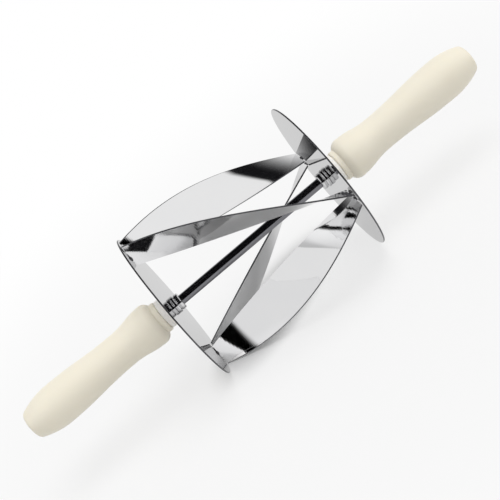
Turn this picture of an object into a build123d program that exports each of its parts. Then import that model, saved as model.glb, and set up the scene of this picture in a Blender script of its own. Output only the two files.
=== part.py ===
"""Rolling croissant cutter: two steel discs and a zigzag of twisted blades on a shaft with two free handles.

The shaft lies along X, with the roller's centre at the origin and Z up. Angles about the shaft
are counted from +Y (the back) towards +Z (the top).
"""
import os
from math import asin, atan, cos, degrees, radians, sin

from build123d import *

# Fits: turning on the shaft, pressed or brazed seats, and room at the end of a turning piece
running_clearance = 0.08
seat_clearance = 0.02
end_play = 0.3

# Shaft
shaft_diameter = 6.8
shaft_chamfer = 0.6
shaft_past_nut = 1.5

# Discs, whose rims cut the dough strip to width
disc_diameter = 110.0
disc_thickness = 1.0
disc_rim_bevel = 0.15
roller_length = 127.0  # between the discs' inner faces

# Turned hubs that carry the discs on the shaft: a flange on the disc, a groove and a narrower nose
hub_length = 5.8
hub_flange_diameter = 12.4
hub_flange_length = 2.5
hub_groove_width = 0.5
hub_groove_depth = 0.5
hub_nose_diameter = 11.3
hub_edge_radius = 0.8
hub_tip_radius = 1.2
hub_spigot_wall = 1.2

# Blades: sheet strips, twisted so that the outer edge follows the roller's surface from disc to disc
blade_thickness = 1.0
blade_end_width = 16.5
blade_belly = 2.5  # how far the inner edge bows towards the shaft at mid length
blade_bevel = 0.5
blade_edge_flat = 0.4
apex_outer_gap = 7.9  # between two blades' outer corners where they meet at a disc
apex_inner_gap = 4.0
blade_stations = 9
blade_slit = 0.5  # between a blade's end and the disc

# Weld tacks that bridge the slit at each blade end, nearer to its inner corner
tack_length = 4.0
tack_width = 2.6
tack_from_inner_corner = 6.0

# Flanged bearing bush, whose collar shows between disc and handle
collar_diameter = 20.4
collar_length = 8.4
collar_edge_chamfer = 0.6
bush_wall = 3.0
bush_sleeve_length = 26.0

# Handle, measured from its neck at the collar and back from its end
grip_length = 108.6
neck_diameter = 21.8
neck_length = 3.6
neck_edge_chamfer = 0.6
shoulder_diameter = 29.4
shoulder_from_neck = 9.0
shoulder_root_diameter = 22.6
waist_diameter = 24.1
waist_from_neck = 33.5
bulb_diameter = 28.8
bulb_from_end = 22.0
grip_end_diameter = 19.0
grip_end_radius = 2.6
grip_bore_clearance = 1.0

# Recess in the handle's end for the fixings, closed by a plug
recess_depth = 26.0
recess_clearance = 1.0
plug_length = 10.0
plug_chamfer = 0.3

# Outer bearing bush in the floor of the recess
end_bush_length = 14.0
end_bush_flange_thickness = 2.0

# Washer and self-locking nut on the end of the shaft
washer_diameter = 13.0
washer_thickness = 1.6
washer_clearance = 0.2
nut_across_flats = 11.0
nut_hex_height = 5.0
nut_collar_height = 1.4
nut_collar_diameter = 9.6
nut_corner_angle = 30.0  # degrees, of the chamfer on the hexagon's corners

shaft_radius = shaft_diameter / 2
disc_radius = disc_diameter / 2
seat_radius = shaft_radius + seat_clearance
running_radius = shaft_radius + running_clearance

# Stations outwards from the roller's centre
disc_inner = roller_length / 2
disc_outer = disc_inner + disc_thickness
collar_start = disc_outer + end_play
grip_start = collar_start + collar_length
grip_end = grip_start + grip_length
recess_floor = grip_end - recess_depth
washer_start = recess_floor + end_bush_flange_thickness + end_play
nut_start = washer_start + washer_thickness
nut_collar_start = nut_start + nut_hex_height
nut_end = nut_collar_start + nut_collar_height
shaft_end = nut_end + shaft_past_nut

spigot_radius = shaft_radius + hub_spigot_wall
sleeve_radius = running_radius + bush_wall
recess_radius = washer_diameter / 2 + recess_clearance

os.makedirs("parts", exist_ok=True)


def save(piece, name):
    """Names a finished piece and writes it."""
    piece.part.label = name
    export_step(piece.part, f"parts/{name}.step")


def span(start, end, inner_radius, outer_radius, mode=Mode.ADD):
    """Draws the half section of a plain ring between two stations."""
    Polygon(
        (start, inner_radius),
        (end, inner_radius),
        (end, outer_radius),
        (start, outer_radius),
        align=None,
        mode=mode,
    )


with BuildPart() as shaft:
    with BuildSketch(Plane.YZ.offset(-shaft_end)):
        Circle(shaft_radius)
    extrude(amount=2 * shaft_end)
    chamfer(shaft.edges().filter_by(GeomType.CIRCLE), length=shaft_chamfer)
save(shaft, "shaft")

# Blades run between the tops and bottoms of the left disc and the front and back of the right disc.
# Each has the angle of its middle, and the sense in which it turns from left to right.
quarter = 90.0
blades = {
    "upper_back_blade": (0.5 * quarter, -1),
    "upper_front_blade": (1.5 * quarter, 1),
    "lower_front_blade": (2.5 * quarter, -1),
    "lower_back_blade": (3.5 * quarter, 1),
}
inner_corner_radius = disc_radius - blade_end_width
outer_half_turn = quarter / 2 - degrees(asin(apex_outer_gap / 2 / disc_radius))
inner_half_turn = quarter / 2 - degrees(asin(apex_inner_gap / 2 / inner_corner_radius))
blade_half_length = disc_inner - blade_slit
blade_lean = atan((disc_radius - blade_end_width / 2) * radians(outer_half_turn) / blade_half_length)
section_half_thickness = blade_thickness / 2 / cos(blade_lean)


def blade_edges(name, along):
    """Gives a blade's inner and outer edge points, from -1 at the left disc to 1 at the right disc."""
    middle, turn = blades[name]
    station = along * blade_half_length
    outer_angle = radians(middle + turn * outer_half_turn * along)
    outer = Vector(station, disc_radius * cos(outer_angle), disc_radius * sin(outer_angle))
    towards_middle = Vector(0, cos(radians(middle)), sin(radians(middle)))
    across = Vector(0, -sin(radians(middle)), cos(radians(middle)))
    belly = blade_belly * (1 - along**2)
    depth = inner_corner_radius * cos(radians(inner_half_turn)) - belly
    sway = turn * along * inner_corner_radius * sin(radians(inner_half_turn))
    inner = Vector(station, 0, 0) + towards_middle * depth + across * sway
    return inner, outer


for name in blades:
    with BuildPart() as blade:
        for step in range(blade_stations):
            inner, outer = blade_edges(name, 2 * step / (blade_stations - 1) - 1)
            width = (outer - inner).length
            with BuildSketch(Plane(origin=inner, x_dir=outer - inner, z_dir=(1, 0, 0))):
                with BuildLine():
                    Polyline(
                        (0, -section_half_thickness),
                        (width - blade_bevel, -section_half_thickness),
                        (width, -blade_edge_flat / 2),
                        (width, blade_edge_flat / 2),
                        (width - blade_bevel, section_half_thickness),
                        (0, section_half_thickness),
                        close=True,
                    )
                make_face()
        loft()
    save(blade, name)

# The two ends are alike: each is drawn on a half plane that runs outwards from the roller's centre
ends = {"left": (-1, Plane.XY.rotated((0, 0, 180))), "right": (1, Plane.XY)}
outwards = (1, 0)
inwards = (-1, 0)

for side, (sign, half_plane) in ends.items():
    with BuildPart() as disc:
        with BuildSketch(half_plane):
            span(disc_inner, disc_outer, spigot_radius + seat_clearance, disc_radius)
        revolve(axis=Axis.X)
        rims = disc.edges().filter_by(GeomType.CIRCLE).group_by(SortBy.RADIUS)[-1]
        chamfer(rims, length=disc_rim_bevel)
    save(disc, f"{side}_disc")

    with BuildPart() as hub:
        hub_tip = disc_inner - hub_length
        flange_tip = disc_inner - hub_flange_length
        groove_tip = flange_tip - hub_groove_width
        nose_radius = hub_nose_diameter / 2
        flange_radius = hub_flange_diameter / 2
        with BuildSketch(half_plane) as outline:
            span(hub_tip, groove_tip, seat_radius, nose_radius)
            span(flange_tip, disc_inner, seat_radius, flange_radius)
            rims = {
                (hub_tip, nose_radius): hub_tip_radius,
                (groove_tip, nose_radius): hub_groove_depth,
                (flange_tip, flange_radius): hub_edge_radius,
                (disc_inner, flange_radius): hub_edge_radius,
            }
            for rim, rounding in rims.items():
                fillet(outline.vertices().sort_by_distance(rim)[0], radius=rounding)
            span(groove_tip, flange_tip, seat_radius, nose_radius - hub_groove_depth)
            span(disc_inner, disc_outer, seat_radius, spigot_radius)
        revolve(axis=Axis.X)
    save(hub, f"{side}_hub")

    with BuildPart() as weld_tacks:
        for name in blades:
            inner, outer = blade_edges(name, sign)
            seat = inner + (outer - inner).normalized() * tack_from_inner_corner
            seat.X = sign * disc_inner
            with BuildSketch(Plane(origin=seat, x_dir=outer - inner, z_dir=(-sign, 0, 0))):
                SlotOverall(tack_length, tack_width)
            extrude(amount=blade_slit)
    save(weld_tacks, f"{side}_weld_tacks")

    with BuildPart() as bush:
        with BuildSketch(half_plane):
            span(collar_start, grip_start, running_radius, collar_diameter / 2)
            span(grip_start, grip_start + bush_sleeve_length, running_radius, sleeve_radius)
        revolve(axis=Axis.X)
        collar_rims = bush.edges().filter_by(GeomType.CIRCLE).group_by(SortBy.RADIUS)[-1]
        chamfer(collar_rims, length=collar_edge_chamfer)
    save(bush, f"{side}_bush")

    with BuildPart() as grip:
        neck_end = grip_start + neck_length
        neck_corner = (grip_start, neck_diameter / 2)
        shoulder_root = (neck_end, shoulder_root_diameter / 2)
        shoulder = (grip_start + shoulder_from_neck, shoulder_diameter / 2)
        waist = (grip_start + waist_from_neck, waist_diameter / 2)
        bulb = (grip_end - bulb_from_end, bulb_diameter / 2)
        end_corner = (grip_end, grip_end_diameter / 2)
        with BuildSketch(half_plane) as outline:
            with BuildLine():
                Polyline((grip_start, 0), neck_corner, (neck_end, neck_diameter / 2), shoulder_root)
                TangentArc(shoulder, shoulder_root, tangent=inwards)
                for crest in (shoulder, bulb):
                    flank = ((crest[0] + waist[0]) / 2, (crest[1] + waist[1]) / 2)
                    TangentArc(crest, flank, tangent=(waist[0] - crest[0], 0))
                    TangentArc(waist, flank, tangent=(crest[0] - waist[0], 0))
                TangentArc(bulb, end_corner, tangent=outwards)
                Polyline(end_corner, (grip_end, 0), (grip_start, 0))
            make_face()
            chamfer(outline.vertices().sort_by_distance(neck_corner)[0], length=neck_edge_chamfer)
            fillet(outline.vertices().sort_by_distance(end_corner)[0], radius=grip_end_radius)
            bearing_bore = sleeve_radius + seat_clearance
            span(grip_start, recess_floor, 0, shaft_radius + grip_bore_clearance, Mode.SUBTRACT)
            span(grip_start, grip_start + bush_sleeve_length, 0, bearing_bore, Mode.SUBTRACT)
            span(recess_floor - end_bush_length, recess_floor, 0, bearing_bore, Mode.SUBTRACT)
            span(recess_floor, grip_end, 0, recess_radius, Mode.SUBTRACT)
        revolve(axis=Axis.X)
    save(grip, f"{side}_grip")

    with BuildPart() as end_bush:
        flange_end = recess_floor + end_bush_flange_thickness
        with BuildSketch(half_plane):
            span(recess_floor - end_bush_length, recess_floor, running_radius, sleeve_radius)
            span(recess_floor, flange_end, running_radius, recess_radius - seat_clearance)
        revolve(axis=Axis.X)
    save(end_bush, f"{side}_end_bush")

    with BuildPart() as washer:
        with BuildSketch(half_plane):
            span(washer_start, nut_start, shaft_radius + washer_clearance, washer_diameter / 2)
        revolve(axis=Axis.X)
    save(washer, f"{side}_retaining_washer")

    with BuildPart() as lock_nut:
        with BuildSketch(Plane.YZ.offset(sign * nut_start)):
            hexagon = RegularPolygon(nut_across_flats / 2, 6, major_radius=False)
        extrude(amount=sign * nut_hex_height)
        corner_drop = (hexagon.radius - hexagon.apothem) * sin(radians(nut_corner_angle))
        with BuildSketch(half_plane):
            with BuildLine():
                Polyline(
                    (nut_start, 0),
                    (nut_start, nut_across_flats / 2),
                    (nut_start + corner_drop, hexagon.radius),
                    (nut_collar_start - corner_drop, hexagon.radius),
                    (nut_collar_start, nut_across_flats / 2),
                    (nut_collar_start, 0),
                    close=True,
                )
            make_face()
        revolve(axis=Axis.X, mode=Mode.INTERSECT)
        with BuildSketch(half_plane):
            span(nut_collar_start, nut_end, 0, nut_collar_diameter / 2)
        revolve(axis=Axis.X)
        with BuildSketch(half_plane):
            span(nut_start, nut_end, 0, seat_radius)
        revolve(axis=Axis.X, mode=Mode.SUBTRACT)
    save(lock_nut, f"{side}_lock_nut")

    with BuildPart() as end_plug:
        with BuildSketch(half_plane):
            span(grip_end - plug_length, grip_end, 0, recess_radius - seat_clearance)
        revolve(axis=Axis.X)
        chamfer(end_plug.edges().filter_by(GeomType.CIRCLE), length=plug_chamfer)
    save(end_plug, f"{side}_end_plug")
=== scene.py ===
"""Rolling croissant cutter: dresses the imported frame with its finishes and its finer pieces.

The shaft lies along X, with the roller's centre at the origin and Z up. Angles about the shaft are
counted from +Y (the back) towards +Z (the top).
"""
from math import asin, atan, cos, pi, radians, sin

import bmesh
import bpy
from mathutils import Matrix, Quaternion, Vector


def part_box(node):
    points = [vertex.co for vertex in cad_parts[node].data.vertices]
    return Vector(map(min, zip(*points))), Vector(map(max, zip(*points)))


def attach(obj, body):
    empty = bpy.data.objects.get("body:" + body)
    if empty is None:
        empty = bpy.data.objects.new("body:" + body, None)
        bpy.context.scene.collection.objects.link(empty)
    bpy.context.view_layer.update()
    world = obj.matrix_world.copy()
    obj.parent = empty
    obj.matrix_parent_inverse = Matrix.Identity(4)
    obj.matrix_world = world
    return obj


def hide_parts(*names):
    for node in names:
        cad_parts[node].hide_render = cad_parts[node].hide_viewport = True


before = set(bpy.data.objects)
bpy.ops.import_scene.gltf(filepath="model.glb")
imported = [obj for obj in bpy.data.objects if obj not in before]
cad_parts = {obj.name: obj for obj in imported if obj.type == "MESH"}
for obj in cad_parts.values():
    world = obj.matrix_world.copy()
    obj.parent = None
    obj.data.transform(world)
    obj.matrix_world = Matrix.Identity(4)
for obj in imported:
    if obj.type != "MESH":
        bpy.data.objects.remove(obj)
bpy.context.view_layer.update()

# Shaft: one round steel bar through the whole cutter, drawn smooth, darkened and chamfered at both ends.
# The hubs are brazed to it and the handles turn on it. Its own solid is right, so it only takes its finish.
mm = 0.001
mix_factor, mix_first, mix_second, mix_result = 0, 6, 7, 2  # the colour sockets of a Mix node
noise_range = {"From Min": 0.3, "From Max": 0.7}  # most values of a noise texture lie between these


def linear(hex_colour):
    """Turns an sRGB hex colour into linear red, green and blue with a full alpha."""
    channels = [int(hex_colour[start:start + 2], 16) / 255 for start in (1, 3, 5)]
    return [c / 12.92 if c <= 0.04045 else ((c + 0.055) / 1.055) ** 2.4 for c in channels] + [1.0]


def add_node(tree, kind, values=None, links=None, **settings):
    """Adds a node with its settings, its sockets' own values and the outputs that feed its sockets."""
    node = tree.nodes.new(kind)
    for setting, value in settings.items():
        setattr(node, setting, value)
    for socket, value in (values or {}).items():
        node.inputs[socket].default_value = value
    for socket, source in (links or {}).items():
        tree.links.new(source, node.inputs[socket])
    return node


def start_material(name):
    """Starts a material and gives it with its empty tree and the place on the piece."""
    finish = bpy.data.materials.new(name)
    finish.use_nodes = True
    tree = finish.node_tree
    tree.nodes.clear()
    place = add_node(tree, "ShaderNodeTexCoord").outputs["Object"]
    return finish, tree, place


def start_finish(name):
    """Starts a material and gives it with its tree, the place on the piece, and its output's shader."""
    finish, tree, place = start_material(name)
    surface = add_node(tree, "ShaderNodeBsdfPrincipled")
    add_node(tree, "ShaderNodeOutputMaterial", links={"Surface": surface.outputs["BSDF"]})
    return finish, tree, place, surface


def dress(node_name, finish):
    """Gives a CAD node's own solid its finish."""
    for material_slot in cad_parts[node_name].material_slots:
        material_slot.material = finish


# Dark drawn steel: the drawing die leaves fine lines along the bar, so its highlights are a little uneven
draw_line_length = 30 * mm
draw_line_width = 0.5 * mm  # drawn coarser than the real lines, which are too fine to show
dark_steel, tree, place, surface = start_finish("dark_drawn_steel")
along_bar = add_node(
    tree, "ShaderNodeMapping", links={"Vector": place},
    values={"Scale": (1 / draw_line_length, 1 / draw_line_width, 1 / draw_line_width)},
)
draw_lines = add_node(
    tree, "ShaderNodeTexNoise", links={"Vector": along_bar.outputs["Vector"]},
    values={"Scale": 1.0, "Detail": 4.0, "Roughness": 0.6},
)
bar_colour = add_node(
    tree, "ShaderNodeMix", data_type="RGBA", links={mix_factor: draw_lines.outputs["Fac"]},
    values={mix_first: linear("#747478"), mix_second: linear("#828286")},
)
bar_roughness = add_node(
    tree, "ShaderNodeMapRange", links={"Value": draw_lines.outputs["Fac"]},
    values={**noise_range, "To Min": 0.10, "To Max": 0.16},
)
tree.links.new(bar_colour.outputs[mix_result], surface.inputs["Base Color"])
tree.links.new(bar_roughness.outputs["Result"], surface.inputs["Roughness"])
surface.inputs["Metallic"].default_value = 1.0
dress("shaft", dark_steel)

# Discs: two round blanks of stainless sheet with a bevelled rim, polished to a mirror on both faces.
# Each is brazed on its hub's spigot, and its rim cuts the edge of the dough strip.
disc_bevel = 0.15 * mm
disc_edge_round = 0.04 * mm
edge_segments = 2
round_steps = 256
merge_distance = 0.001 * mm
disc_low, disc_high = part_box("right_disc")
disc_inner, disc_outer = disc_low.x, disc_high.x
disc_radius = disc_high.z
spigot_radius = 4.6 * mm


def draw_outline(corners, closed=True):
    """Starts a shape from the corners of its outline, each given as a station and a radius."""
    shape = bmesh.new()
    tips = [shape.verts.new((station, 0, radius)) for station, radius in corners]
    for start, end in zip(tips, tips[1:] + (tips[:1] if closed else [])):
        shape.edges.new((start, end))
    return shape


def turn_about_shaft(shape):
    """Spins an outline once round the shaft's axis into a closed piece that faces outwards."""
    outline = list(shape.verts) + list(shape.edges)
    bmesh.ops.spin(
        shape, geom=outline, cent=(0, 0, 0), axis=(1, 0, 0), angle=2 * pi,
        steps=round_steps, use_merge=True,
    )
    bmesh.ops.remove_doubles(shape, verts=shape.verts, dist=merge_distance)
    bmesh.ops.recalc_face_normals(shape, faces=shape.faces)


def soften_corners(shape, radius, sharpest=radians(20)):
    """Rounds every corner that turns by more than an angle, as deburring and handling do."""
    corners = [edge for edge in shape.edges if edge.calc_face_angle() > sharpest]
    bmesh.ops.bevel(
        shape, geom=corners, offset=radius, offset_type="OFFSET", segments=edge_segments, profile=0.5,
        affect="EDGES", clamp_overlap=True, material=-1,
    )


def swing_to_left(shape):
    """Turns a piece that was drawn for the right end round to the left end."""
    bmesh.ops.rotate(shape, cent=(0, 0, 0), matrix=Matrix.Rotation(pi, 3, "Z"), verts=shape.verts)


def set_in_place(shape, name, finish, body, node, edge_finish=None):
    """Makes a shape into a smooth piece that rides on a body and stands for its CAD node.

    Faces that are set to on_edge take the edge finish.
    """
    mesh = bpy.data.meshes.new(name)
    shape.to_mesh(mesh)
    shape.free()
    mesh.materials.append(finish)
    if edge_finish:
        mesh.materials.append(edge_finish)
    mesh.shade_smooth()
    piece = bpy.data.objects.new(name, mesh)
    bpy.context.scene.collection.objects.link(piece)
    flat_faces = piece.modifiers.new("flat_faces", "WEIGHTED_NORMAL")
    flat_faces.keep_sharp = True
    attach(piece, body)
    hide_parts(node)
    return piece


# Mirror-polished stainless: buffing leaves a bright, even mirror with a faint haze in wide patches
haze_patch = 22 * mm
buffing_line_length = 14 * mm
buffing_line_width = 0.35 * mm  # drawn coarser than the real lines, which are too fine to show
polished_steel, tree, place, surface = start_finish("mirror_polished_stainless")
haze = add_node(
    tree, "ShaderNodeTexNoise", links={"Vector": place}, values={"Scale": 1 / haze_patch, "Detail": 3.0},
)
along_strip = add_node(
    tree, "ShaderNodeMapping", links={"Vector": place},
    values={"Scale": (1 / buffing_line_length, 1 / buffing_line_width, 1 / buffing_line_width)},
)
buffing_lines = add_node(
    tree, "ShaderNodeTexNoise", links={"Vector": along_strip.outputs["Vector"]},
    values={"Scale": 1.0, "Detail": 3.0},
)
steel_colour = add_node(
    tree, "ShaderNodeMix", data_type="RGBA", links={mix_factor: haze.outputs["Fac"]},
    values={mix_first: linear("#f1f1f2"), mix_second: linear("#f5f5f5")},
)
steel_roughness = add_node(
    tree, "ShaderNodeMapRange", links={"Value": haze.outputs["Fac"]},
    values={**noise_range, "To Min": 0.03, "To Max": 0.06},
)
buffed_surface = add_node(
    tree, "ShaderNodeBump", links={"Height": buffing_lines.outputs["Fac"]},
    values={"Strength": 0.04, "Distance": 0.01 * mm},
)
tree.links.new(steel_colour.outputs[mix_result], surface.inputs["Base Color"])
tree.links.new(steel_roughness.outputs["Result"], surface.inputs["Roughness"])
tree.links.new(buffed_surface.outputs["Normal"], surface.inputs["Normal"])
surface.inputs["Metallic"].default_value = 1.0
surface.inputs["Specular Tint"].default_value = linear("#d8d8d8")  # steel dims at grazing angles

# Deburred stainless edge: the sheet isn't polished where it was cut, so its edge is dull. Its colour is
# painted far darker than steel, a painted dark reflection along the thin edges
cut_mark = 0.6 * mm
on_edge = 1  # the material slot of the faces at the sheet's cut edges
dull_edge_painted_dark, tree, place, surface = start_finish("deburred_edge_painted_dark")
cut_marks = add_node(
    tree, "ShaderNodeTexNoise", links={"Vector": place}, values={"Scale": 1 / cut_mark, "Detail": 2.0},
)
edge_painted_dark_colour = add_node(
    tree, "ShaderNodeMix", data_type="RGBA", links={mix_factor: cut_marks.outputs["Fac"]},
    values={mix_first: linear("#545457"), mix_second: linear("#666669")},
)
edge_roughness = add_node(
    tree, "ShaderNodeMapRange", links={"Value": cut_marks.outputs["Fac"]},
    values={**noise_range, "To Min": 0.30, "To Max": 0.42},
)
tree.links.new(edge_painted_dark_colour.outputs[mix_result], surface.inputs["Base Color"])
tree.links.new(edge_roughness.outputs["Result"], surface.inputs["Roughness"])
surface.inputs["Metallic"].default_value = 1.0

for side in ("left", "right"):
    disc = draw_outline((
        (disc_inner, spigot_radius),
        (disc_inner, disc_radius - disc_bevel),
        (disc_inner + disc_bevel, disc_radius),
        (disc_outer - disc_bevel, disc_radius),
        (disc_outer, disc_radius - disc_bevel),
        (disc_outer, spigot_radius),
    ))
    turn_about_shaft(disc)
    soften_corners(disc, disc_edge_round)
    # the rim faces take the dull edge finish, with its painted dark reflection
    for face in disc.faces:
        if face.calc_center_median().yz.length > disc_radius - disc_bevel:
            face.material_index = on_edge
    if side == "left":
        swing_to_left(disc)
    set_in_place(disc, f"polished_{side}_disc", polished_steel, "roller", f"{side}_disc", dull_edge_painted_dark)

# Hubs: short turned steel bosses that hold the discs square on the shaft, with a flange against the disc,
# a groove and a narrower nose. They are brazed to shaft and disc, and their rims are turned round.
flange_length = 2.5 * mm
groove_width = 0.5 * mm
groove_depth = 0.5 * mm
nose_radius = 5.65 * mm
groove_rounding = 0.15 * mm
flange_rounding = 0.6 * mm
tip_rounding = 0.8 * mm
rim_segments = 6
rim_tolerance = 0.01 * mm
shaft_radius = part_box("shaft")[1].z
hub_low, hub_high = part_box("right_hub")
hub_tip = hub_low.x
flange_radius = hub_high.z
flange_tip = disc_inner - flange_length
groove_tip = flange_tip - groove_width


def round_rim(shape, station, radius, reach):
    """Rounds the rim at a station and a radius, from a given reach on both sides of it."""
    rim = [
        edge for edge in shape.edges
        if all(abs(v.co.x - station) + abs(v.co.yz.length - radius) < rim_tolerance for v in edge.verts)
    ]
    bmesh.ops.bevel(
        shape, geom=rim, offset=reach, offset_type="OFFSET", segments=rim_segments, profile=0.5,
        affect="EDGES", clamp_overlap=True, material=-1,
    )


# Bright turned steel: the tool leaves fine rings round the piece, so highlights spread along it
ring_width = 0.25 * mm  # drawn coarser than the real rings, which are too fine to show
turned_steel, tree, place, surface = start_finish("bright_turned_steel")
along_shaft = add_node(
    tree, "ShaderNodeMapping", links={"Vector": place}, values={"Scale": (1 / ring_width, 0.0, 0.0)},
)
tool_rings = add_node(
    tree, "ShaderNodeTexNoise", links={"Vector": along_shaft.outputs["Vector"]},
    values={"Scale": 1.0, "Detail": 2.0},
)
turned_colour = add_node(
    tree, "ShaderNodeMix", data_type="RGBA", links={mix_factor: tool_rings.outputs["Fac"]},
    values={mix_first: linear("#d2d2d4"), mix_second: linear("#dedede")},
)
turned_roughness = add_node(
    tree, "ShaderNodeMapRange", links={"Value": tool_rings.outputs["Fac"]},
    values={**noise_range, "To Min": 0.03, "To Max": 0.06},
)
ringed_surface = add_node(
    tree, "ShaderNodeBump", links={"Height": tool_rings.outputs["Fac"]},
    values={"Strength": 0.03, "Distance": 0.01 * mm},
)
tree.links.new(turned_colour.outputs[mix_result], surface.inputs["Base Color"])
tree.links.new(turned_roughness.outputs["Result"], surface.inputs["Roughness"])
tree.links.new(ringed_surface.outputs["Normal"], surface.inputs["Normal"])
surface.inputs["Metallic"].default_value = 1.0
surface.inputs["Specular Tint"].default_value = linear("#dddddd")  # steel dims at grazing angles

for side in ("left", "right"):
    hub = draw_outline((
        (hub_tip, shaft_radius),
        (hub_tip, nose_radius),
        (groove_tip, nose_radius),
        (groove_tip, nose_radius - groove_depth),
        (flange_tip, nose_radius - groove_depth),
        (flange_tip, flange_radius),
        (disc_inner, flange_radius),
        (disc_inner, spigot_radius),
        (disc_outer, spigot_radius),
        (disc_outer, shaft_radius),
    ))
    turn_about_shaft(hub)
    round_rim(hub, hub_tip, nose_radius, tip_rounding)
    round_rim(hub, groove_tip, nose_radius, groove_rounding)
    round_rim(hub, flange_tip, flange_radius, flange_rounding)
    round_rim(hub, disc_inner, flange_radius, flange_rounding)
    if side == "left":
        swing_to_left(hub)
    set_in_place(hub, f"turned_{side}_hub", turned_steel, "roller", f"{side}_hub")

# Blades: four strips of stainless sheet, twisted so that the outer edge follows the roller's surface from
# disc to disc. They are polished like the discs, and that edge is deburred on both faces to cut the dough.
blade_sheet = 1.0 * mm
blade_end_width = 16.5 * mm
blade_belly = 2.5 * mm
deburred_width = 0.5 * mm
cutting_edge = 0.4 * mm
outer_corner_gap = 7.9 * mm
inner_corner_gap = 4.0 * mm
blade_steps = 120
blade_columns = 6
blade_crease = radians(6)
quarter = radians(90)
blade_half_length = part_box("upper_back_blade")[1].x
inner_corner_radius = disc_radius - blade_end_width
outer_half_turn = quarter / 2 - asin(outer_corner_gap / 2 / disc_radius)
inner_half_turn = quarter / 2 - asin(inner_corner_gap / 2 / inner_corner_radius)
blade_lean = atan((disc_radius - blade_end_width / 2) * outer_half_turn / blade_half_length)
half_sheet = blade_sheet / 2 / cos(blade_lean)

# Each blade has the angle of its middle, and the sense in which it turns from left to right
blades = {
    "upper_back_blade": (0.5 * quarter, -1),
    "upper_front_blade": (1.5 * quarter, 1),
    "lower_front_blade": (2.5 * quarter, -1),
    "lower_back_blade": (3.5 * quarter, 1),
}


def blade_edges(name, along):
    """Gives a blade's inner and outer edge points, from -1 at the left disc to 1 at the right disc."""
    middle, turn = blades[name]
    station = Vector((along * blade_half_length, 0, 0))
    outer_angle = middle + turn * outer_half_turn * along
    outer = station + disc_radius * Vector((0, cos(outer_angle), sin(outer_angle)))
    towards_middle = Vector((0, cos(middle), sin(middle)))
    across = Vector((0, -sin(middle), cos(middle)))
    depth = inner_corner_radius * cos(inner_half_turn) - blade_belly * (1 - along ** 2)
    sway = turn * along * inner_corner_radius * sin(inner_half_turn)
    inner = station + towards_middle * depth + across * sway
    return inner, outer


def blade_section(name, along):
    """Gives the corners of a blade's cut across, up one face and down the other."""
    inner, outer = blade_edges(name, along)
    width = (outer - inner).length
    outwards = (outer - inner).normalized()
    sideways = Vector((1, 0, 0)).cross(outwards)
    flat_width = width - deburred_width
    face = [(flat_width * column / blade_columns, half_sheet) for column in range(blade_columns + 1)]
    face.append((width, cutting_edge / 2))
    up = [inner + outwards * reach - sideways * offset for reach, offset in face]
    down = [inner + outwards * reach + sideways * offset for reach, offset in reversed(face)]
    return up + down


# Where the sheet's edges start among a cut's corners: bevel, cutting edge, bevel and inner edge
edge_corners = (blade_columns, blade_columns + 1, blade_columns + 2, 2 * blade_columns + 3)
for name in blades:
    blade = bmesh.new()
    tip = blade.faces.new([blade.verts.new(corner) for corner in blade_section(name, -1)])
    for step in range(1, blade_steps + 1):
        grown = bmesh.ops.extrude_face_region(blade, geom=[tip])["geom"]
        tip = next(part for part in grown if isinstance(part, bmesh.types.BMFace))
        for vert, corner in zip(tip.verts, blade_section(name, 2 * step / blade_steps - 1)):
            vert.co = corner
        # the edge faces take the dull edge finish, with its painted dark reflection
        for corner in edge_corners:
            tip.loops[corner].link_loop_radial_next.face.material_index = on_edge
    bmesh.ops.recalc_face_normals(blade, faces=blade.faces)
    piece = set_in_place(blade, f"polished_{name}", polished_steel, "roller", name, dull_edge_painted_dark)
    piece.data.set_sharp_from_angle(angle=blade_crease)

# Weld tacks: one small bead of weld metal at each blade end, nearer to its inner corner, which bridges the
# slit to the disc. They are left as welded, dull and darkened by the heat.
tack_length = 4.0 * mm
tack_width = 2.6 * mm
tack_swell = 0.35 * mm
tack_from_inner_corner = 6.0 * mm
bead_slices, bead_rings = 24, 12
slit = disc_inner - blade_half_length

# Weld metal: lumpy, dull and dark, with straw and blue heat tints in patches
tint_patch = 0.9 * mm
ripple = 0.3 * mm
weld_metal, tree, place, surface = start_finish("heat_darkened_weld")
tints = add_node(tree, "ShaderNodeTexNoise", links={"Vector": place}, values={"Scale": 1 / tint_patch})
ripples = add_node(tree, "ShaderNodeTexNoise", links={"Vector": place}, values={"Scale": 1 / ripple})
weld_colour = add_node(
    tree, "ShaderNodeMix", data_type="RGBA", links={mix_factor: tints.outputs["Fac"]},
    values={mix_first: linear("#55504a"), mix_second: linear("#7a7c84")},
)
weld_surface = add_node(
    tree, "ShaderNodeBump", links={"Height": ripples.outputs["Fac"]},
    values={"Strength": 0.5, "Distance": 0.1 * mm},
)
tree.links.new(weld_colour.outputs[mix_result], surface.inputs["Base Color"])
tree.links.new(weld_surface.outputs["Normal"], surface.inputs["Normal"])
surface.inputs["Metallic"].default_value = 1.0
surface.inputs["Roughness"].default_value = 0.45

for side, sign in (("left", -1), ("right", 1)):
    tacks = bmesh.new()
    for name in blades:
        inner, outer = blade_edges(name, sign)
        seat = inner + (outer - inner).normalized() * tack_from_inner_corner
        seat.x = sign * (disc_inner - slit / 2)
        bead = bmesh.ops.create_uvsphere(
            tacks, u_segments=bead_slices, v_segments=bead_rings, radius=0.5,
        )["verts"]
        bmesh.ops.scale(tacks, vec=(slit + 2 * tack_swell, tack_length, tack_width), verts=bead)
        up_blade = Vector((0, 1, 0)).rotation_difference((outer - inner).normalized())
        bmesh.ops.rotate(tacks, cent=(0, 0, 0), matrix=up_blade.to_matrix(), verts=bead)
        bmesh.ops.translate(tacks, vec=seat, verts=bead)
    set_in_place(tacks, f"beaded_{side}_weld_tacks", weld_metal, "roller", f"{side}_weld_tacks")

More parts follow.
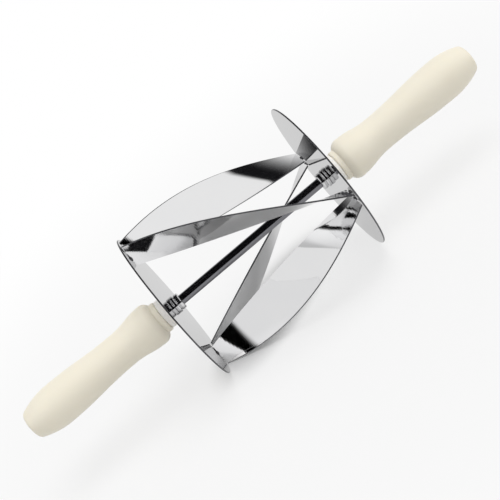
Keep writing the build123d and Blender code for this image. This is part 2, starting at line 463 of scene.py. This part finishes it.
# Bearing bushes: turned white nylon, each with a collar that shows between disc and handle and a sleeve
# pressed into the handle. The shaft runs in them dry.
collar_edge_chamfer = 0.6 * mm
collar_edge_round = 0.25 * mm
sleeve_wall = 3.0 * mm
running_clearance = 0.08 * mm
bush_low, bush_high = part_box("right_bush")
collar_start, sleeve_end = bush_low.x, bush_high.x
collar_radius = bush_high.z
grip_low, grip_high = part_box("right_grip")
grip_start, grip_end = grip_low.x, grip_high.x
bore_radius = shaft_radius + running_clearance
sleeve_radius = bore_radius + sleeve_wall

# Natural nylon: white and waxy, a little translucent, with the faint rings of the lathe
nylon_ring = 0.4 * mm
nylon_cloud = 12 * mm
white_nylon, tree, place, surface = start_finish("turned_white_nylon")
clouds = add_node(tree, "ShaderNodeTexNoise", links={"Vector": place}, values={"Scale": 1 / nylon_cloud})
along_bush = add_node(
    tree, "ShaderNodeMapping", links={"Vector": place}, values={"Scale": (1 / nylon_ring, 0.0, 0.0)},
)
nylon_rings = add_node(
    tree, "ShaderNodeTexNoise", links={"Vector": along_bush.outputs["Vector"]}, values={"Scale": 1.0},
)
nylon_colour = add_node(
    tree, "ShaderNodeMix", data_type="RGBA", links={mix_factor: clouds.outputs["Fac"]},
    values={mix_first: linear("#f3f0ea"), mix_second: linear("#f9f7f3")},
)
nylon_surface = add_node(
    tree, "ShaderNodeBump", links={"Height": nylon_rings.outputs["Fac"]},
    values={"Strength": 0.1, "Distance": 0.02 * mm},
)
tree.links.new(nylon_colour.outputs[mix_result], surface.inputs["Base Color"])
tree.links.new(nylon_surface.outputs["Normal"], surface.inputs["Normal"])
surface.inputs["Roughness"].default_value = 0.4
surface.inputs["Subsurface Weight"].default_value = 0.15
surface.inputs["Subsurface Radius"].default_value = (1.0, 0.9, 0.8)
surface.inputs["Subsurface Scale"].default_value = 1.0 * mm

for side in ("left", "right"):
    bush = draw_outline((
        (collar_start, bore_radius),
        (collar_start, collar_radius - collar_edge_chamfer),
        (collar_start + collar_edge_chamfer, collar_radius),
        (grip_start - collar_edge_chamfer, collar_radius),
        (grip_start, collar_radius - collar_edge_chamfer),
        (grip_start, sleeve_radius),
        (sleeve_end, sleeve_radius),
        (sleeve_end, bore_radius),
    ))
    turn_about_shaft(bush)
    soften_corners(bush, collar_edge_round)
    if side == "left":
        swing_to_left(bush)
    set_in_place(bush, f"turned_{side}_bush", white_nylon, f"{side}_handle", f"{side}_bush")

# Grips: waisted handles, moulded in ivory polypropylene, with a neck ring, a shoulder, a waist and a bulb.
# They turn on the two bushes, and the recess in the end takes the fixings.
neck_radius = 10.9 * mm
neck_length = 3.6 * mm
neck_edge_chamfer = 0.6 * mm
shoulder_from_neck = 9.0 * mm
shoulder_root_radius = 11.3 * mm
waist_radius = 12.05 * mm
waist_from_neck = 33.5 * mm
bulb_radius = 14.4 * mm
bulb_from_end = 22.0 * mm
end_corner_radius = 9.5 * mm
end_rounding = 1.6 * mm
grip_edge_round = 0.15 * mm
grip_bore_clearance = 1.0 * mm
end_bush_length = 14.0 * mm
arc_steps = 14
grip_bore_radius = shaft_radius + grip_bore_clearance
shoulder_radius = grip_high.z
recess_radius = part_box("right_end_bush")[1].z
recess_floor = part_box("right_end_bush")[0].x + end_bush_length


def line_to(shape, tip, corner):
    """Draws an outline on from its tip in a straight line, and gives the new tip."""
    tip = bmesh.ops.extrude_vert_indiv(shape, verts=[tip])["verts"][0]
    tip.co = (corner[0], 0, corner[1])
    return tip


def arc_to(shape, tip, crest, corner):
    """Draws an outline on from its tip in an arc that lies level where it passes the crest."""
    start = tip.co.copy()
    goal = Vector((corner[0], 0, corner[1]))
    top = Vector((crest[0], 0, crest[1]))
    foot = goal if (start - top).length < (goal - top).length else start
    drop = top.z - foot.z
    centre = top - Vector((0, 0, (foot - top).length_squared / (2 * drop)))
    axis = (start - centre).cross(goal - centre)
    turn = (start - centre).angle(goal - centre)
    swept = bmesh.ops.spin(
        shape, geom=[tip], cent=centre, axis=axis.normalized(), angle=turn, steps=arc_steps,
    )
    return next(part for part in swept["geom_last"] if isinstance(part, bmesh.types.BMVert))


# Moulded ivory polypropylene: satin, with a very fine spark-eroded texture and faint clouds of colour
flow_cloud = 35 * mm
spark_grain = 0.5 * mm  # drawn coarser than the real grain, which is too fine to show
ivory_plastic, tree, place, surface = start_finish("moulded_ivory_polypropylene")
flow = add_node(
    tree, "ShaderNodeTexNoise", links={"Vector": place}, values={"Scale": 1 / flow_cloud, "Detail": 2.0},
)
grain = add_node(
    tree, "ShaderNodeTexNoise", links={"Vector": place}, values={"Scale": 1 / spark_grain, "Detail": 2.0},
)
ivory_colour = add_node(
    tree, "ShaderNodeMix", data_type="RGBA", links={mix_factor: flow.outputs["Fac"]},
    values={mix_first: linear("#ede6d3"), mix_second: linear("#f0eada")},
)
ivory_roughness = add_node(
    tree, "ShaderNodeMapRange", links={"Value": grain.outputs["Fac"]},
    values={**noise_range, "To Min": 0.38, "To Max": 0.5},
)
ivory_surface = add_node(
    tree, "ShaderNodeBump", links={"Height": grain.outputs["Fac"]},
    values={"Strength": 0.12, "Distance": 0.02 * mm},
)
tree.links.new(ivory_colour.outputs[mix_result], surface.inputs["Base Color"])
tree.links.new(ivory_roughness.outputs["Result"], surface.inputs["Roughness"])
tree.links.new(ivory_surface.outputs["Normal"], surface.inputs["Normal"])
surface.inputs["Subsurface Weight"].default_value = 0.1
surface.inputs["Subsurface Radius"].default_value = (1.0, 0.85, 0.6)
surface.inputs["Subsurface Scale"].default_value = 1.5 * mm

neck_end = grip_start + neck_length
shoulder = (grip_start + shoulder_from_neck, shoulder_radius)
waist = (grip_start + waist_from_neck, waist_radius)
bulb = (grip_end - bulb_from_end, bulb_radius)
front_flank = ((shoulder[0] + waist[0]) / 2, (shoulder[1] + waist[1]) / 2)
back_flank = ((waist[0] + bulb[0]) / 2, (waist[1] + bulb[1]) / 2)
for side in ("left", "right"):
    grip = bmesh.new()
    first = grip.verts.new((grip_start, 0, sleeve_radius))
    tip = line_to(grip, first, (grip_start, neck_radius - neck_edge_chamfer))
    tip = line_to(grip, tip, (grip_start + neck_edge_chamfer, neck_radius))
    tip = line_to(grip, tip, (neck_end, neck_radius))
    tip = line_to(grip, tip, (neck_end, shoulder_root_radius))
    tip = arc_to(grip, tip, shoulder, shoulder)
    tip = arc_to(grip, tip, shoulder, front_flank)
    tip = arc_to(grip, tip, waist, waist)
    tip = arc_to(grip, tip, waist, back_flank)
    tip = arc_to(grip, tip, bulb, bulb)
    tip = arc_to(grip, tip, bulb, (grip_end, end_corner_radius))
    tip = line_to(grip, tip, (grip_end, recess_radius))
    tip = line_to(grip, tip, (recess_floor, recess_radius))
    tip = line_to(grip, tip, (recess_floor, sleeve_radius))
    tip = line_to(grip, tip, (recess_floor - end_bush_length, sleeve_radius))
    tip = line_to(grip, tip, (recess_floor - end_bush_length, grip_bore_radius))
    tip = line_to(grip, tip, (sleeve_end, grip_bore_radius))
    tip = line_to(grip, tip, (sleeve_end, sleeve_radius))
    grip.edges.new((tip, first))
    turn_about_shaft(grip)
    round_rim(grip, grip_end, end_corner_radius, end_rounding)
    soften_corners(grip, grip_edge_round)
    if side == "left":
        swing_to_left(grip)
    set_in_place(grip, f"moulded_{side}_grip", ivory_plastic, f"{side}_handle", f"{side}_grip")

# Inner fixings: an outer nylon bush in the floor of each grip's recess, and a zinc-plated steel washer and
# lock nut on the shaft's end. The grip hides them, so their own solids only take their finishes.

# Zinc plate: bluish and satin, with a fine crystalline spangle
zinc_spangle = 1.5 * mm
plated_steel, tree, place, surface = start_finish("zinc_plated_steel")
spangle = add_node(
    tree, "ShaderNodeTexVoronoi", links={"Vector": place}, values={"Scale": 1 / zinc_spangle},
)
zinc_colour = add_node(
    tree, "ShaderNodeMix", data_type="RGBA", links={mix_factor: spangle.outputs["Distance"]},
    values={mix_first: linear("#cfd2d6"), mix_second: linear("#dcdee2")},
)
zinc_roughness = add_node(
    tree, "ShaderNodeMapRange", links={"Value": spangle.outputs["Distance"]},
    values={"To Min": 0.25, "To Max": 0.4},
)
tree.links.new(zinc_colour.outputs[mix_result], surface.inputs["Base Color"])
tree.links.new(zinc_roughness.outputs["Result"], surface.inputs["Roughness"])
surface.inputs["Metallic"].default_value = 1.0
for side in ("left", "right"):
    dress(f"{side}_end_bush", white_nylon)
    dress(f"{side}_retaining_washer", plated_steel)
    dress(f"{side}_lock_nut", plated_steel)

# End plugs: short moulded stoppers, pressed into the recess in each grip's end, flush with it.
# They are of the grip's plastic.
plug_edge_round = 0.3 * mm
plug_low, plug_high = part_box("right_end_plug")
for side in ("left", "right"):
    plug = draw_outline((
        (plug_low.x, 0),
        (plug_low.x, plug_high.z),
        (plug_high.x, plug_high.z),
        (plug_high.x, 0),
    ), closed=False)
    turn_about_shaft(plug)
    soften_corners(plug, plug_edge_round)
    if side == "left":
        swing_to_left(plug)
    set_in_place(plug, f"moulded_{side}_end_plug", ivory_plastic, f"{side}_handle", f"{side}_end_plug")

# Floor: a plain sheet of white paper under the cutter, lit and shadowed by the lamps, which keeps a soft
# shadow round the discs. Plain white is added over it, less near the cutter and none in an ellipse under
# the roller, which is painted shade; further out it is plain white, and the camera and the bright steel see
# it alike.
floor_half_width = 6.0
white_share = (0.70, 1.0)
white_reach = (0.15, 0.60)
painted_shade_centre = (-14 * mm, 19 * mm)
painted_shade_half_size = (70 * mm, 35 * mm)
painted_shade_turn = radians(37)
painted_shade_edge = (0.60, 1.20)


def seen_rays(tree):
    """Gives 1 for the rays that show the studio: the camera's, mirrored ones and those through glass."""
    ray = add_node(tree, "ShaderNodeLightPath")
    seen_through = add_node(
        tree, "ShaderNodeMath", operation="MAXIMUM",
        links={0: ray.outputs["Is Camera Ray"], 1: ray.outputs["Is Transmission Ray"]},
    )
    seen = add_node(
        tree, "ShaderNodeMath", operation="MAXIMUM",
        links={0: seen_through.outputs["Value"], 1: ray.outputs["Is Glossy Ray"]},
    )
    return seen.outputs["Value"]


# White paper: lit and shaded like the cutter, with plain white added to what is seen of it outside the
# painted shade
white_paper, tree, place = start_material("white_paper_with_painted_shade")
from_cutter = add_node(tree, "ShaderNodeVectorMath", operation="LENGTH", links={0: place})
# painted shade round the cutter: less plain white is added near it, so the paper is a little darker there
fade = add_node(
    tree, "ShaderNodeMapRange", interpolation_type="SMOOTHSTEP",
    links={"Value": from_cutter.outputs["Value"]},
    values={
        "From Min": white_reach[0], "From Max": white_reach[1],
        "To Min": white_share[0], "To Max": white_share[1],
    },
)
# painted shade: an ellipse under the roller, turned along the blades, where no plain white is added
in_painted_shade = add_node(
    tree, "ShaderNodeMapping", vector_type="TEXTURE", links={"Vector": place},
    values={
        "Location": (*painted_shade_centre, -disc_radius), "Rotation": (0.0, 0.0, painted_shade_turn),
        "Scale": (*painted_shade_half_size, 1.0),
    },
)
from_painted_shade = add_node(
    tree, "ShaderNodeVectorMath", operation="LENGTH", links={0: in_painted_shade.outputs["Vector"]},
)
outside_painted_shade = add_node(
    tree, "ShaderNodeMapRange", interpolation_type="SMOOTHSTEP",
    links={"Value": from_painted_shade.outputs["Value"]},
    values={"From Min": painted_shade_edge[0], "From Max": painted_shade_edge[1]},
)
white_paper_share = add_node(
    tree, "ShaderNodeMath", operation="MULTIPLY",
    links={0: fade.outputs["Result"], 1: outside_painted_shade.outputs["Result"]},
)
whiteness = add_node(
    tree, "ShaderNodeMath", operation="MULTIPLY",
    links={0: seen_rays(tree), 1: white_paper_share.outputs["Value"]},
)
lit_paper = add_node(tree, "ShaderNodeBsdfDiffuse", values={"Color": linear("#dedede")})
plain_white = add_node(tree, "ShaderNodeEmission", values={"Color": linear("#ffffff"), "Strength": 1.0})
paper = add_node(
    tree, "ShaderNodeMixShader",
    links={0: whiteness.outputs["Value"], 1: lit_paper.outputs["BSDF"], 2: plain_white.outputs["Emission"]},
)
add_node(tree, "ShaderNodeOutputMaterial", links={"Surface": paper.outputs["Shader"]})
shape = bmesh.new()
bmesh.ops.create_grid(shape, x_segments=1, y_segments=1, size=floor_half_width)
bmesh.ops.translate(shape, vec=(0, 0, -disc_radius), verts=shape.verts)
floor_mesh = bpy.data.meshes.new("floor")
shape.to_mesh(floor_mesh)
shape.free()
floor_mesh.materials.append(white_paper)
floor = bpy.data.objects.new("floor", floor_mesh)
bpy.context.scene.collection.objects.link(floor)

# Soft boxes: a wide lit cloth to the left and right of the cutter, which the bright steel mirrors, over a
# black skirt that rises towards the front. The cloth has a slanted back edge, and both end far away.
box_distance = 406 * mm
box_half_width = 5.0
box_tones = {"left": (0.82, 1.08), "right": (0.87, 1.08)}
bright_middles = {"left": (0.79, 0.85), "right": (0.82, 0.94)}
skirt_top, skirt_blur = 8 * mm, 35 * mm
front_top, front_slope, front_blur = -108 * mm, 0.525, 50 * mm
back_edge, back_slope, back_blur = -37 * mm, 0.561, 40 * mm
far_share = 0.26


def past_line(tree, place, across, line, blur):
    """Gives how far a place lies past a line on a cloth, from 0 before the line's blur to 1 after it."""
    reach = add_node(
        tree, "ShaderNodeVectorMath", operation="DOT_PRODUCT", links={0: place}, values={1: across},
    )
    past = add_node(
        tree, "ShaderNodeMapRange", interpolation_type="SMOOTHSTEP",
        links={"Value": reach.outputs["Value"]},
        values={"From Min": line - blur / 2, "From Max": line + blur / 2},
    )
    return past.outputs["Result"]


def hang_cloth(shape, name, material):
    """Hangs a cloth in the studio, where only mirrored rays meet it."""
    mesh = bpy.data.meshes.new(name)
    shape.to_mesh(mesh)
    shape.free()
    mesh.materials.append(material)
    cloth = bpy.data.objects.new(name, mesh)
    bpy.context.scene.collection.objects.link(cloth)
    cloth.visible_camera = False
    cloth.visible_diffuse = False
    cloth.visible_transmission = False
    cloth.visible_shadow = False


for side, sign in (("left", -1), ("right", 1)):
    # Lit cloth: white above the skirt, brightest near the cutter, and open where the box ends
    box_cloth, tree, place = start_material(f"{side}_soft_box_cloth")
    over_skirt = past_line(tree, place, (0.0, 0.0, 1.0), skirt_top, skirt_blur)
    over_front = past_line(tree, place, (0.0, front_slope, 1.0), front_top, front_blur)
    in_front = past_line(tree, place, (0.0, -1.0, back_slope), -back_edge, back_blur)
    away = add_node(tree, "ShaderNodeVectorMath", operation="LENGTH", links={0: place})
    nearness = add_node(
        tree, "ShaderNodeMath", operation="DIVIDE",
        links={1: away.outputs["Value"]}, values={0: box_distance},
    )
    near = add_node(
        tree, "ShaderNodeMapRange", interpolation_type="SMOOTHSTEP",
        links={"Value": nearness.outputs["Value"]},
        values={"From Min": 0.0, "From Max": far_share},
    )
    box_tone, bright_middle = box_tones[side], bright_middles[side]
    tone = add_node(
        tree, "ShaderNodeMapRange", links={"Value": nearness.outputs["Value"]},
        values={
            "From Min": bright_middle[0], "From Max": bright_middle[1],
            "To Min": box_tone[0], "To Max": box_tone[1],
        },
    )
    lit_share = add_node(
        tree, "ShaderNodeMath", operation="MULTIPLY", links={0: over_skirt, 1: over_front},
    )
    strength = add_node(
        tree, "ShaderNodeMath", operation="MULTIPLY",
        links={0: tone.outputs["Result"], 1: lit_share.outputs["Value"]},
    )
    cloth_share = add_node(
        tree, "ShaderNodeMath", operation="MULTIPLY", links={0: in_front, 1: near.outputs["Result"]},
    )
    box_light = add_node(
        tree, "ShaderNodeEmission", links={"Strength": strength.outputs["Value"]},
        values={"Color": linear("#ffffff")},
    )
    open_air = add_node(tree, "ShaderNodeBsdfTransparent")
    soft_box = add_node(
        tree, "ShaderNodeMixShader",
        links={
            0: cloth_share.outputs["Value"],
            1: open_air.outputs["BSDF"],
            2: box_light.outputs["Emission"],
        },
    )
    add_node(tree, "ShaderNodeOutputMaterial", links={"Surface": soft_box.outputs["Shader"]})
    shape = bmesh.new()
    bmesh.ops.create_grid(shape, x_segments=1, y_segments=1, size=box_half_width)
    bmesh.ops.rotate(shape, cent=(0, 0, 0), matrix=Matrix.Rotation(quarter, 3, "Y"), verts=shape.verts)
    bmesh.ops.translate(shape, vec=(sign * box_distance, 0, 0), verts=shape.verts)
    hang_cloth(shape, f"{side}_soft_box", box_cloth)

# Black curtain: dark cloth hung in an arch behind and over the camera, out of its sight. It gives the
# bright steel its wide dark bands, and thins out towards the back, where the white begins.
curtain_radius = 2.0
curtain_half_width = 5.0
curtain_start, curtain_end = radians(-178), radians(-350)
curtain_steps = 32
thin_lean, thin_edge, thin_blur = 1.124, 0.225, 1.25

# Black cloth: dull and dark, with a weave that lets more and more white through
black_cloth, tree, place = start_material("black_cloth")
towards_back = Vector((0, 1, -thin_lean)) / curtain_radius
thinness = past_line(tree, place, towards_back, thin_edge, thin_blur)
dark_weave = add_node(tree, "ShaderNodeBsdfDiffuse", values={"Color": linear("#1c1c1e")})
open_air = add_node(tree, "ShaderNodeBsdfTransparent")
curtain = add_node(
    tree, "ShaderNodeMixShader",
    links={0: thinness, 1: dark_weave.outputs["BSDF"], 2: open_air.outputs["BSDF"]},
)
add_node(tree, "ShaderNodeOutputMaterial", links={"Surface": curtain.outputs["Shader"]})
shape = bmesh.new()
ends = [shape.verts.new((sign * curtain_half_width, curtain_radius, 0)) for sign in (-1, 1)]
rail = shape.edges.new(ends)
bmesh.ops.rotate(shape, cent=(0, 0, 0), matrix=Matrix.Rotation(curtain_start, 3, "X"), verts=ends)
bmesh.ops.spin(
    shape, geom=[rail] + ends, cent=(0, 0, 0), axis=(1, 0, 0), angle=curtain_end - curtain_start,
    steps=curtain_steps,
)
hang_cloth(shape, "black_curtain", black_cloth)

# Surroundings: a plain white studio, which the camera and the bright steel both see.
# Plastics get its even light.
fill_tone = 0.62
world = bpy.data.worlds.new("white_studio")
bpy.context.scene.world = world
world.use_nodes = True
tree = world.node_tree
tree.nodes.clear()
shown = add_node(
    tree, "ShaderNodeMix", links={"Factor": seen_rays(tree)}, values={"A": fill_tone, "B": 1.0},
)
studio = add_node(
    tree, "ShaderNodeBackground", links={"Color": shown.outputs["Result"]}, values={"Strength": 1.0},
)
add_node(tree, "ShaderNodeOutputWorld", links={"Surface": studio.outputs["Background"]})
bpy.context.scene.view_settings.view_transform = "Standard"

# Overhead lamp: a wide soft light from above and a little in front, which rounds the handles.
# Its disc isn't shown in the steel, where the soft boxes take its place.
lamp_level = 0.50
lamp_width = radians(50)
lamp_from = Vector((0.33, -0.13, 0.93))
overhead = bpy.data.lights.new("overhead_lamp", "SUN")
overhead.energy = lamp_level * pi
overhead.angle = lamp_width
lamp = bpy.data.objects.new("overhead_lamp", overhead)
bpy.context.scene.collection.objects.link(lamp)
lamp.rotation_mode = "QUATERNION"
lamp.rotation_quaternion = lamp_from.to_track_quat("Z", "Y")
lamp.visible_glossy = False

# Camera: above the front of the cutter and rolled, so that the shaft runs across the frame from lower left
# to upper right.
camera_distance = 598.6 * mm
camera_azimuth = radians(-1.007)
camera_elevation = radians(24.256)
camera_roll = radians(-40.0)
camera_aim = Vector((-3.97, -1.63, -3.64)) * mm
focal_length = 67.556
film_width = 36.0
lens = bpy.data.cameras.new("camera")
lens.lens = focal_length
lens.sensor_width = film_width
camera = bpy.data.objects.new("camera", lens)
bpy.context.scene.collection.objects.link(camera)
camera.location = camera_distance * Vector((
    sin(camera_azimuth) * cos(camera_elevation),
    -cos(camera_azimuth) * cos(camera_elevation),
    sin(camera_elevation),
))
level = (camera_aim - camera.location).to_track_quat("-Z", "Y")
camera.rotation_mode = "QUATERNION"
camera.rotation_quaternion = level @ Quaternion((0, 0, 1), camera_roll)
bpy.context.scene.camera = camera
